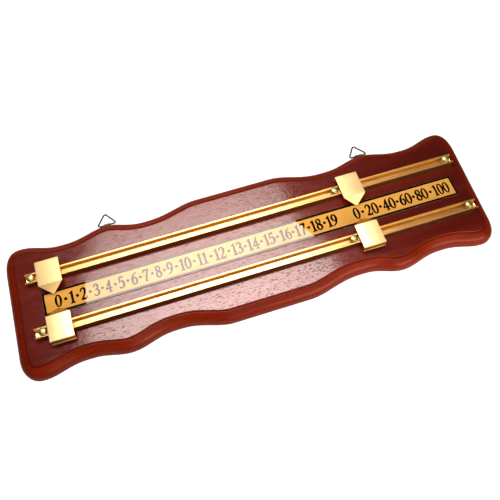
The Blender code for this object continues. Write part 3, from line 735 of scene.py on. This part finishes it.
def ink(name, closed_lines, z0, z1, material):
    """Thin solid print from closed lines; holes are lines inside lines."""
    curve = bpy.data.curves.new(name, "CURVE")
    curve.dimensions, curve.fill_mode = "2D", "BOTH"
    curve.extrude = (z1 - z0) / 2 * MM
    for line in closed_lines:
        s = curve.splines.new("POLY")
        s.points.add(len(line) - 1)
        for p, (x, y) in zip(s.points, line):
            p.co = (x * MM, y * MM, 0.0, 1.0)
        s.use_cyclic_u = True
    ob = bpy.data.objects.new(name, curve)
    bpy.context.scene.collection.objects.link(ob)
    ob.location = (0, 0, (z0 + z1) / 2 * MM)
    bpy.context.view_layer.update()
    mesh = bpy.data.meshes.new_from_object(ob.evaluated_get(bpy.context.evaluated_depsgraph_get()))
    mesh.transform(Matrix.Translation((0, 0, (z0 + z1) / 2 * MM)))
    bpy.data.objects.remove(ob)
    bpy.data.curves.remove(curve)
    bm = bmesh.new()
    bm.from_mesh(mesh)
    bpy.data.meshes.remove(mesh)
    bmesh.ops.remove_doubles(bm, verts=bm.verts, dist=1e-7)
    return mesh_object(name, bm, 30.0, (material,))


def make_print():
    shapes = {}
    for d in DIGITS:
        xs, ys, f = digit_field(d, 0.12, 0.6)
        shapes[d] = [thinned(line, 0.012) for line in contours(xs, ys, f - BOLD)]
    widths = {d: DIGITS[d][0] for d in DIGITS}
    spans, lines = [], []
    for text, middle in SCALE:
        k = NARROW.get(len(text), 1.0)
        gap = 0.85 / k
        total = k * (sum(widths[c] for c in text) + gap * (len(text) - 1))
        x = middle - total / 2
        spans.append((x, x + total))
        for c in text:
            for line in shapes[c]:
                lines.append([(k * px + x, py + PLATE_Y + DIGIT_LOW + 0.2) for px, py in line])
            x += k * (widths[c] + gap)
    for i, ((_, left), (right, _)) in enumerate(zip(spans, spans[1:])):
        if SCALE[i][0] == "19":
            continue
        cx = (left + right) / 2
        lines.append([(cx + DOT_R * math.cos(2 * math.pi * k / 28),
                       PLATE_Y - 0.1 + DOT_R * math.sin(2 * math.pi * k / 28)) for k in range(28)])
    return ridden(ink("printed_numbers", lines, PLATE_TOP - 0.03, PLATE_TOP + 0.03, BLACK_PRINT),
                  "board", "gold_scale_print")


# ------------------------------------------------------------ rails
def rail_section():
    w, h, t, lip = RAIL_W / 2, RAIL_H, RAIL_WALL, RAIL_LIP
    c, e = 0.30, 0.16
    half = arc(w - c, c, c, -90, 0, 4) + arc(w - c, h - c, c, 0, 90, 5)
    half += arc(w - lip + e, h - e, e, 90, 180, 3) + arc(w - lip + e, h - t + e, e, 180, 270, 3)
    half += [(w - t - 0.12, h - t), (w - t, h - t - 0.12)]
    half += arc(w - t - 0.3, t + 0.3, 0.3, 0, -90, 3)
    return half + [(-x, z) for x, z in reversed(half)]


def make_rail(name, row, node):
    y0 = RAIL_MID + row * RAIL_ROW
    section = rail_section()
    spots = [RAIL_X0, RAIL_X0 + 0.12]
    spots += list(np.linspace(RAIL_X0 + 6, RAIL_X1 - 6, 60)) + [RAIL_X1 - 0.12, RAIL_X1]
    rings = []
    for k, x in enumerate(spots):
        pts = section
        if k in (0, len(spots) - 1):
            cy, cz = 0.0, RAIL_H / 2
            pts = [(y * (1 - 0.012), cz + (z - cz) * (1 - 0.02)) for y, z in section]
        rings.append([v(x, y0 + y, RAIL_Z + z) for y, z in pts])
    rail = mesh_object(name, loft(rings), 30.0, (RAIL_BRASS, RAIL_PAINTED_SHADE_SIDE, RAIL_INNER_PAINTED_BOUNCE))
    # outer walls take the darker painted-shade brass, inner walls the orange painted bounce-light brass
    for poly in rail.data.polygons:
        if abs(poly.normal.y) > 0.5:
            poly.material_index = 1 if abs(poly.center.y / MM - y0) > RAIL_W / 2 - 0.5 else 2
    tools = bmesh.new()
    for x in SCREW_XS[row]:
        add(tools, rod(x, y0, SCREW_SHANK_R + SCREW_HOLE_PLAY, RAIL_Z - 2, RAIL_Z + 3.5, 28))
    cut(rail, tools)
    rail.data.shade_smooth()
    rail.data.set_sharp_from_angle(angle=math.radians(30))
    return ridden(rail, "board", "polished_brass", node)


# ------------------------------------------------------------ screws
def cross(x, y, z0, z1, width, length, k0, k1):
    w, a = width / 2, length / 2
    star = [(w, w), (w, a), (-w, a), (-w, w), (-a, w), (-a, -w),
            (-w, -w), (-w, -a), (w, -a), (w, -w), (a, -w), (a, w)]
    return loft([[v(x + px * k, y + py * k, z) for px, py in star] for z, k in ((z0, k0), (z1, k1))])


def make_rail_screw(name, x, row):
    y = RAIL_MID + row * RAIL_ROW
    seat = RAIL_Z + RAIL_H + GAP
    r, h, rim = SCREW_HEAD_R, SCREW_HEAD_H, SCREW_RIM
    prof = [(0.0, seat - SCREW_LENGTH), (SCREW_SHANK_R * 0.45, seat - SCREW_LENGTH + 1.6)]
    # wood-screw thread: low ridges on the shank, inside the CAD's plain pin
    z = seat - SCREW_LENGTH + 3.4
    while z < seat - 9.0:
        prof += [(SCREW_SHANK_R - 0.35, z), (SCREW_SHANK_R - 0.02, z + 0.45), (SCREW_SHANK_R - 0.35, z + 0.9)]
        z += 1.25
    prof += [(SCREW_SHANK_R - 0.05, z + 0.6), (SCREW_SHANK_R - 0.05, seat),
             (r * 0.955, seat), (r * 0.99, seat + 0.08), (r, seat + 0.25), (r, seat + rim)]
    for k in range(1, 17):
        a = math.pi / 2 * k / 16
        prof.append((r * math.cos(a) if k < 16 else 0.0, seat + rim + (h - rim) * math.sin(a)))
    screw = mesh_object(name, turned(prof, 56, x, y), 50.0, (SCREW_BRASS,))
    cut(screw, cross(x, y, seat + h - 1.0, seat + h + 2.0, 0.6, 2.6, 0.55, 1.35))
    screw.data.shade_smooth()
    screw.data.set_sharp_from_angle(angle=math.radians(40))
    return ridden(screw, "board", "screw_brass", name)


def make_back_screw(name, x, y):
    under = HANGER_Z - LOOP_R - STRAP_T - GAP
    r = BACK_SCREW_HEAD_R
    prof = [(0.0, under - 1.15)]
    for k in range(1, 9):
        a = math.pi / 2 * k / 8
        prof.append((r * math.sin(a), under - 0.30 - 0.85 * math.cos(a)))
    prof += [(r, under - 0.08), (r * 0.97, under), (BACK_SCREW_R - 0.03, under)]
    z = under + 1.4
    while z < under + BACK_SCREW_LENGTH - 2.6:
        prof += [(BACK_SCREW_R - 0.28, z), (BACK_SCREW_R - 0.03, z + 0.3), (BACK_SCREW_R - 0.28, z + 0.6)]
        z += 0.9
    prof += [(BACK_SCREW_R * 0.4, under + BACK_SCREW_LENGTH - 0.8), (0.0, under + BACK_SCREW_LENGTH)]
    screw = mesh_object(name, turned(prof, 36, x, y), 50.0, (SCREW_BRASS,))
    cut(screw, cross(x, y, under - 3.0, under - 0.55, 0.6, 2.7, 1.0, 1.0))
    screw.data.shade_smooth()
    screw.data.set_sharp_from_angle(angle=math.radians(40))
    return ridden(screw, "board", "screw_brass", name)


# ------------------------------------------------------------ pointers
def sheet_outline(path, thick):
    left, right = [], []
    n = len(path)
    for i, (x, y) in enumerate(path):
        if i == 0:
            dx, dy, k = path[1][0] - x, path[1][1] - y, 1.0
        elif i == n - 1:
            dx, dy, k = x - path[-2][0], y - path[-2][1], 1.0
        else:
            ax, ay = x - path[i - 1][0], y - path[i - 1][1]
            bx, by = path[i + 1][0] - x, path[i + 1][1] - y
            la, lb = math.hypot(ax, ay), math.hypot(bx, by)
            ax, ay, bx, by = ax / la, ay / la, bx / lb, by / lb
            dx, dy = ax + bx, ay + by
            k = 1.0 / math.sqrt(max(0.25, (1 + ax * bx + ay * by) / 2))
        length = math.hypot(dx, dy)
        nx, ny = -dy / length, dx / length
        h = 0.5 * thick * k
        left.append((x + nx * h, y + ny * h))
        right.append((x - nx * h, y - ny * h))
    return left + right[::-1]


def pointer_path():
    t = POINTER_T
    z = POINTER_TOP - t / 2
    tip = (POINTER_TIP, POINTER_TIP_Z - t / 2)
    slope = math.degrees(math.atan2(z - tip[1], POINTER_IN - tip[0]))
    rb = 2.0
    back = rb * math.tan(math.radians(slope / 2))
    path = [tip]
    path += arc(POINTER_IN + back, z - rb, rb, 90 + slope, 90, 8)
    out = POINTER_OUT - t / 2
    path += arc(out - POINTER_BEND, z - POINTER_BEND, POINTER_BEND, 90, 0, 12)
    lip = 0.85
    low = POINTER_TOP - POINTER_SKIRT + t / 2
    path += arc(out + lip, low + lip, lip, 180, 270, 8)
    path.append((out + lip + 0.5, low))
    return path


def make_pointer(key, x):
    row = 1 if key.endswith("upper") else -1
    pts = [(PLATE_Y + row * u, z) for u, z in sheet_outline(pointer_path(), POINTER_T)]
    if row < 0:
        pts.reverse()
    rings = [[v(px, y, z) for y, z in pts] for px in (x - POINTER_W / 2, x + POINTER_W / 2)]
    # upper pointers: worn brass with painted shade on the top, painted-reflection brass on the tip; lower pointers:
    # plain brass, painted-shade tip
    body = mesh_object("sheet_" + key, loft(rings), 25.0, (POINTER_WORN_AND_SHADED if row > 0 else POINTER_BRASS,
                                                              POINTER_SIDE_PAINTED_LIGHT if row > 0 else POINTER_SHADE,
                                                              POINTER_EDGE_PAINTED_SHADE))
    w = POINTER_W / 2
    half_angle = math.atan2(w, POINTER_IN - POINTER_TIP)
    r = 1.1
    cy = POINTER_TIP + r / math.sin(half_angle)
    plan = [(w + 2, 70), (-w - 2, 70), (-w - 2, POINTER_IN + 2 / math.tan(half_angle))]
    plan += arc(0.0, cy, r, 180 + math.degrees(half_angle), 360 - math.degrees(half_angle), 10)
    plan += [(w + 2, POINTER_IN + 2 / math.tan(half_angle))]
    cut(body, loft([[v(x + a, PLATE_Y + row * b, z) for a, b in plan] for z in (15, 40)]), "INTERSECT")
    bevelled(body, 0.13, 2, 50.0, 40.0)
    for poly in body.data.polygons:
        # faces by slope: flat tops, then sloped tip and bends, then steep skirts and edges, which get the darker
        # painted-shade brass
        poly.material_index = 0 if poly.normal.z > 0.93 else 1 if poly.normal.z > 0.35 else 2
    return ridden(body, "pointer_" + key, "pointer_brass", "pointer_" + key)


def make_slider(key, x):
    row = 1 if key.endswith("upper") else -1
    y0 = RAIL_MID + row * RAIL_ROW
    foot = RAIL_W / 2 - RAIL_WALL - SLIDER_PLAY
    neck = RAIL_W / 2 - RAIL_LIP - SLIDER_PLAY
    z0 = RAIL_Z + RAIL_WALL + SLIDER_PLAY
    z1 = RAIL_Z + RAIL_H - RAIL_WALL - SLIDER_PLAY
    z2 = POINTER_TOP - POINTER_T - GAP
    half = [(foot - 0.3, z0), (foot, z0 + 0.3), (foot, z1), (neck, z1), (neck, z2)]
    pts = [(y0 + y, z) for y, z in half] + [(y0 - y, z) for y, z in reversed(half)]
    rings = [[v(px, y, z) for y, z in pts] for px in (x - SLIDER_L / 2, x + SLIDER_L / 2)]
    block = mesh_object("block_" + key, loft(rings), 30.0, (SLIDER_BRASS,))
    bevelled(block, 0.2, 2, 35.0, 40.0)
    return ridden(block, "pointer_" + key, "slider_brass", "slider_" + key)


# ------------------------------------------------------------ hangers
def make_strap(side, x, hinge_y):
    t, r = STRAP_T, LOOP_R + STRAP_T / 2
    z = HANGER_Z - r
    path = [(STRAP_END, z), (hinge_y - 1.0, z)] + arc(hinge_y, HANGER_Z, r, -90, 215, 40)
    pts = sheet_outline(path, t)
    rings = [[v(px, y, zz) for y, zz in pts] for px in (x - STRAP_W / 2, x + STRAP_W / 2)]
    strap = mesh_object("strap_" + side, loft(rings), 30.0, (STRAP_METAL,))
    w = STRAP_W / 2
    plan = [(w + 1, 100), (-w - 1, 100), (-w - 1, STRAP_END + w)]
    plan += arc(0.0, STRAP_END + w, w, 180, 360, 20)
    plan += [(w + 1, STRAP_END + w)]
    cut(strap, loft([[v(x + a, b, zz) for a, b in plan] for zz in (-5, 12)]), "INTERSECT")
    tools = bmesh.new()
    for y in STRAP_HOLES:
        add(tools, rod(x, y, BACK_SCREW_R + 0.25, -1, HANGER_Z, 24))
    cut(strap, tools)
    bevelled(strap, 0.08, 1, 50.0, 40.0)
    return ridden(strap, "board", "hanger_strap", "hanger_strap_" + side)


def ring_path(steps):
    half, h, r = RING_BASE / 2, RING_HEIGHT - 0.16, RING_CORNER
    corners = [(-half, 0.0), (half, 0.0), (0.0, h)]
    pts = []
    for i in range(3):
        p0, p1, p2 = (Vector((*corners[i - 1], 0)), Vector((*corners[i], 0)),
                      Vector((*corners[(i + 1) % 3], 0)))
        a, b = (p0 - p1).normalized(), (p2 - p1).normalized()
        ang = a.angle(b)
        s, e = p1 + a * (r / math.tan(ang / 2)), p1 + b * (r / math.tan(ang / 2))
        centre = p1 + (a + b).normalized() * (r / math.sin(ang / 2))
        va, vb = s - centre, e - centre
        for k in range(steps + 1):
            pts.append(centre + va.slerp(vb, k / steps).normalized() * r)
        for k in (1, 2, 3):
            pts.append(e.lerp(p2 + (p1 - p2).normalized() * ((p2 - p1).length * 0.12), k / 4))
    return pts


def make_ring(side, x, hinge_y):
    pts = ring_path(12)
    n, sides = len(pts), 20
    bm = bmesh.new()
    rows = []
    for i, p in enumerate(pts):
        t = (pts[(i + 1) % n] - pts[i - 1]).normalized()
        across = Vector((-t.y, t.x, 0.0))
        rows.append([bm.verts.new((p + across * (WIRE_R * math.cos(2 * math.pi * k / sides))
                                   + Vector((0, 0, WIRE_R * math.sin(2 * math.pi * k / sides)))) * MM)
                     for k in range(sides)])
    for i in range(n):
        a, b = rows[i], rows[(i + 1) % n]
        for k in range(sides):
            m = (k + 1) % sides
            bm.faces.new((a[k], a[m], b[m], b[k]))
    bmesh.ops.rotate(bm, verts=bm.verts, cent=(0, 0, 0), matrix=Matrix.Rotation(-RING_DROP, 3, "X"))
    bmesh.ops.translate(bm, verts=bm.verts, vec=v(x, hinge_y, HANGER_Z))
    ring = mesh_object("wire_triangle_" + side, bm, 60.0, (RING_WIRE,))
    return ridden(ring, "ring_" + side, "hanger_wire", "hanger_ring_" + side)


# ------------------------------------------------------------ build
make_board()
make_plate()
make_print()
for rail_name, rail_row in (("upper", 1), ("lower", -1)):
    make_rail("channel_" + rail_name, rail_row, "rail_" + rail_name)
    for place, screw_x in zip(("left", "middle", "right"), SCREW_XS[rail_row]):
        make_rail_screw("rail_screw_%s_%s" % (rail_name, place), screw_x, rail_row)
for pointer_key, pointer_x in POINTER_XS.items():
    make_pointer(pointer_key, pointer_x)
    make_slider(pointer_key, pointer_x)
for hang_side, hang_x, hang_y in zip(("left", "right"), HANGER_XS, HANGER_YS):
    make_strap(hang_side, hang_x, hang_y)
    make_ring(hang_side, hang_x, hang_y)
    for hole_k, hole_y in enumerate(STRAP_HOLES):
        make_back_screw("hanger_screw_%s_%d" % (hang_side, hole_k + 1), hang_x, hole_y)


# ------------------------------------------------------------ studio
def sheet_of_paper(name, z, tone_low, tone_high, emission):
    bm = bmesh.new()
    s = 6.0
    bm.faces.new([bm.verts.new((x, y, z)) for x, y in ((-s, -s), (s, -s), (s, s), (-s, s))])
    n = Nodes(name + "_paper")
    tone = n.noise(n.spot(0.004, 0.004, 0.004), 1.0, 2.0)
    n.set(Base_Color=n.ramp(tone, (0.3, tone_low), (0.7, tone_high)), Roughness=0.8,
          Specular_IOR_Level=0.0, Emission_Color=(1.0, 1.0, 1.0), Emission_Strength=emission)
    floor = mesh_object(name, bm, 30.0, (n.mat,))
    return floor


def make_floor():
    """White sweep for the eye; the table that the lacquer mirrors is greyer."""
    seen = sheet_of_paper("floor", -0.0004, 0.30, 0.34, 0.92)
    seen.visible_diffuse = seen.visible_glossy = seen.visible_transmission = False
    mirrored = sheet_of_paper("floor_mirrored", -0.0008, (0.42, 0.35, 0.29), (0.46, 0.39, 0.33), 0.0)
    mirrored.visible_camera = False
    seen.visible_shadow = False


def make_softbox():
    """Overhead soft light, nearly square, tilted to the board; brighter at its near side."""
    height = 1.20
    cx, cy, cz = -97.68, -337.74, 711.65
    k = (height / MM + cz - 36.0) / (cz - 18.0)
    def above(x, y):
        return Vector(((cx + (x - cx) * k) * MM, (cy + (y - cy) * k) * MM, height))
    y0, y1 = -150.0, 150.0
    corners = [above(-209 + 0.157 * y0, y0), above(97, y0), above(90, -50), above(82, -20), above(63, 14),
               above(62, 60), above(58, y1), above(-165, y1), above(-189, 60), above(-204, 32)]
    bm = bmesh.new()
    verts = [bm.verts.new(c) for c in corners]
    bm.faces.new(verts)
    mat = bpy.data.materials.new("softbox_light")
    mat.use_nodes = True
    tree = mat.node_tree
    tree.nodes.clear()
    out = tree.nodes.new("ShaderNodeOutputMaterial")
    glow = tree.nodes.new("ShaderNodeEmission")
    coord = tree.nodes.new("ShaderNodeTexCoord")
    split = tree.nodes.new("ShaderNodeSeparateXYZ")
    tree.links.new(coord.outputs["Object"], split.inputs[0])
    low, high = above(-240, y0), above(100, y1)
    shares = []
    for axis, start, end, stops in (
            ("X", low.x, high.x, ((-240, 0.60), (-209, 0.66), (-110, 1.0), (0, 1.0), (60, 0.82), (100, 0.72))),
            ("Y", low.y, high.y, ((-150, 0.80), (-60, 0.785), (-22, 0.64), (22, 0.61), (58, 0.445), (70, 0.37),
                                  (150, 0.25)))):
        where = tree.nodes.new("ShaderNodeMapRange")
        where.inputs["From Min"].default_value, where.inputs["From Max"].default_value = start, end
        tree.links.new(split.outputs[axis], where.inputs["Value"])
        share = tree.nodes.new("ShaderNodeValToRGB")
        elements = share.color_ramp.elements
        while len(elements) < len(stops):
            elements.new(0.5)
        for element, (place, value) in zip(elements, stops):
            element.position = (place - stops[0][0]) / (stops[-1][0] - stops[0][0])
            element.color = (value, value, value, 1.0)
        tree.links.new(where.outputs["Result"], share.inputs["Fac"])
        shares.append(share.outputs["Color"])
    both = tree.nodes.new("ShaderNodeMath")
    both.operation = "MULTIPLY"
    tree.links.new(shares[0], both.inputs[0])
    tree.links.new(shares[1], both.inputs[1])
    strength = tree.nodes.new("ShaderNodeMath")
    strength.operation = "MULTIPLY"
    strength.inputs[1].default_value = 22.0
    glow.inputs["Color"].default_value = (1.0, 0.85, 0.80, 1.0)
    tree.links.new(both.outputs[0], strength.inputs[0])
    tree.links.new(strength.outputs[0], glow.inputs["Strength"])
    tree.links.new(glow.outputs[0], out.inputs["Surface"])
    mesh = bpy.data.meshes.new("softbox")
    bm.to_mesh(mesh)
    bm.free()
    mesh.materials.append(mat)
    box = bpy.data.objects.new("softbox", mesh)
    bpy.context.scene.collection.objects.link(box)
    box.visible_camera = False
    box.visible_shadow = False
    box.visible_diffuse = False          # the mirrored window; the lamps below do the lighting


def make_panel(name, aim, distance, wide, tall, radiance, mirrored=True, tint=(1.0, 1.0, 1.0), lights=True):
    """Soft light that faces the part, unseen by the camera."""
    aim = Vector(aim).normalized()
    centre = aim * distance
    across = Vector((0, 0, 1)).cross(aim).normalized()
    up = aim.cross(across)
    bm = bmesh.new()
    bm.faces.new([bm.verts.new(centre + across * a * wide + up * b * tall)
                  for a, b in ((-1, -1), (1, -1), (1, 1), (-1, 1))])
    mesh = bpy.data.meshes.new(name)
    bm.to_mesh(mesh)
    bm.free()
    mat = bpy.data.materials.new(name + "_light")
    mat.use_nodes = True
    tree = mat.node_tree
    tree.nodes.clear()
    out = tree.nodes.new("ShaderNodeOutputMaterial")
    glow = tree.nodes.new("ShaderNodeEmission")
    glow.inputs["Strength"].default_value = radiance
    glow.inputs["Color"].default_value = (*tint, 1.0)
    tree.links.new(glow.outputs[0], out.inputs["Surface"])
    mesh.materials.append(mat)
    panel = bpy.data.objects.new(name, mesh)
    bpy.context.scene.collection.objects.link(panel)
    panel.visible_camera = False
    panel.visible_shadow = False
    panel.visible_glossy = mirrored
    panel.visible_diffuse = lights


def make_world():
    """Dark room with three weak bright patches; the eye sees plain white behind the part."""
    world = bpy.data.worlds.new("studio")
    bpy.context.scene.world = world
    world.use_nodes = True
    tree = world.node_tree
    tree.nodes.clear()
    out = tree.nodes.new("ShaderNodeOutputWorld")
    room = tree.nodes.new("ShaderNodeBackground")
    paper = tree.nodes.new("ShaderNodeBackground")
    mix = tree.nodes.new("ShaderNodeMixShader")
    path = tree.nodes.new("ShaderNodeLightPath")
    coord = tree.nodes.new("ShaderNodeTexCoord")
    total = None
    for axis, inner, outer, strength in (((0.22, -0.34, 0.90), 8.0, 22.0, 1.0),
                                         ((0.33, -0.86, 0.50), 10.0, 32.0, 1.3),
                                         ((-0.08, 0.85, 0.52), 14.0, 31.0, 0.5)):
        dot = tree.nodes.new("ShaderNodeVectorMath")
        dot.operation = "DOT_PRODUCT"
        dot.inputs[1].default_value = Vector(axis).normalized()
        tree.links.new(coord.outputs["Generated"], dot.inputs[0])
        lobe = tree.nodes.new("ShaderNodeMapRange")
        lobe.interpolation_type = "SMOOTHSTEP"
        lobe.inputs["From Min"].default_value = math.cos(math.radians(outer))
        lobe.inputs["From Max"].default_value = math.cos(math.radians(inner))
        lobe.inputs["To Min"].default_value = 0.0
        lobe.inputs["To Max"].default_value = strength
        tree.links.new(dot.outputs["Value"], lobe.inputs["Value"])
        plus = tree.nodes.new("ShaderNodeMath")
        plus.operation = "ADD"
        tree.links.new(lobe.outputs["Result"], plus.inputs[0])
        if total is None:
            plus.inputs[1].default_value = 0.03
        else:
            tree.links.new(total, plus.inputs[1])
        total = plus.outputs["Value"]
    tree.links.new(total, room.inputs["Strength"])
    room.inputs["Color"].default_value = (1.0, 0.90, 0.76, 1.0)
    paper.inputs["Color"].default_value = (1.0, 1.0, 1.0, 1.0)
    paper.inputs["Strength"].default_value = 1.0
    tree.links.new(path.outputs["Is Camera Ray"], mix.inputs[0])
    tree.links.new(room.outputs[0], mix.inputs[1])
    tree.links.new(paper.outputs[0], mix.inputs[2])
    tree.links.new(mix.outputs[0], out.inputs["Surface"])


def make_camera():
    data = bpy.data.cameras.new("camera")
    data.sensor_width, data.sensor_height, data.sensor_fit = 36.0, 36.0, "HORIZONTAL"
    data.lens = 624.607 * 36.0 / 500.0
    data.clip_start, data.clip_end = 0.01, 50.0
    to_camera = Matrix(((0.95219798, -0.30504303, -0.01636311),
                        (0.28031659, 0.85121367, 0.44368671),
                        (-0.12141503, -0.42706445, 0.89603256)))
    camera = bpy.data.objects.new("camera", data)
    camera.matrix_world = Matrix.Translation((-0.09768, -0.33774, 0.71165)) @ to_camera.transposed().to_4x4()
    bpy.context.scene.collection.objects.link(camera)
    bpy.context.scene.camera = camera


make_floor()
make_softbox()
make_panel("panel_key", (-0.05, 0.20, 0.45), 0.49, 0.18, 0.18, 8.3, False)
make_panel("panel_front", (0.33, -0.55, 0.15), 0.62, 0.15, 0.15, 15.5, False)
make_panel("panel_right", (0.37, -0.80, 0.40), 1.7, 0.45, 0.30, 4.6, True, (1.0, 0.80, 0.58), False)
make_panel("panel_left", (-0.70, -0.58, 0.42), 2.0, 1.3, 0.8, 1.9, False)
make_world()
make_camera()
bpy.context.scene.view_settings.view_transform = "Standard"
bpy.context.scene.view_settings.look = "None"
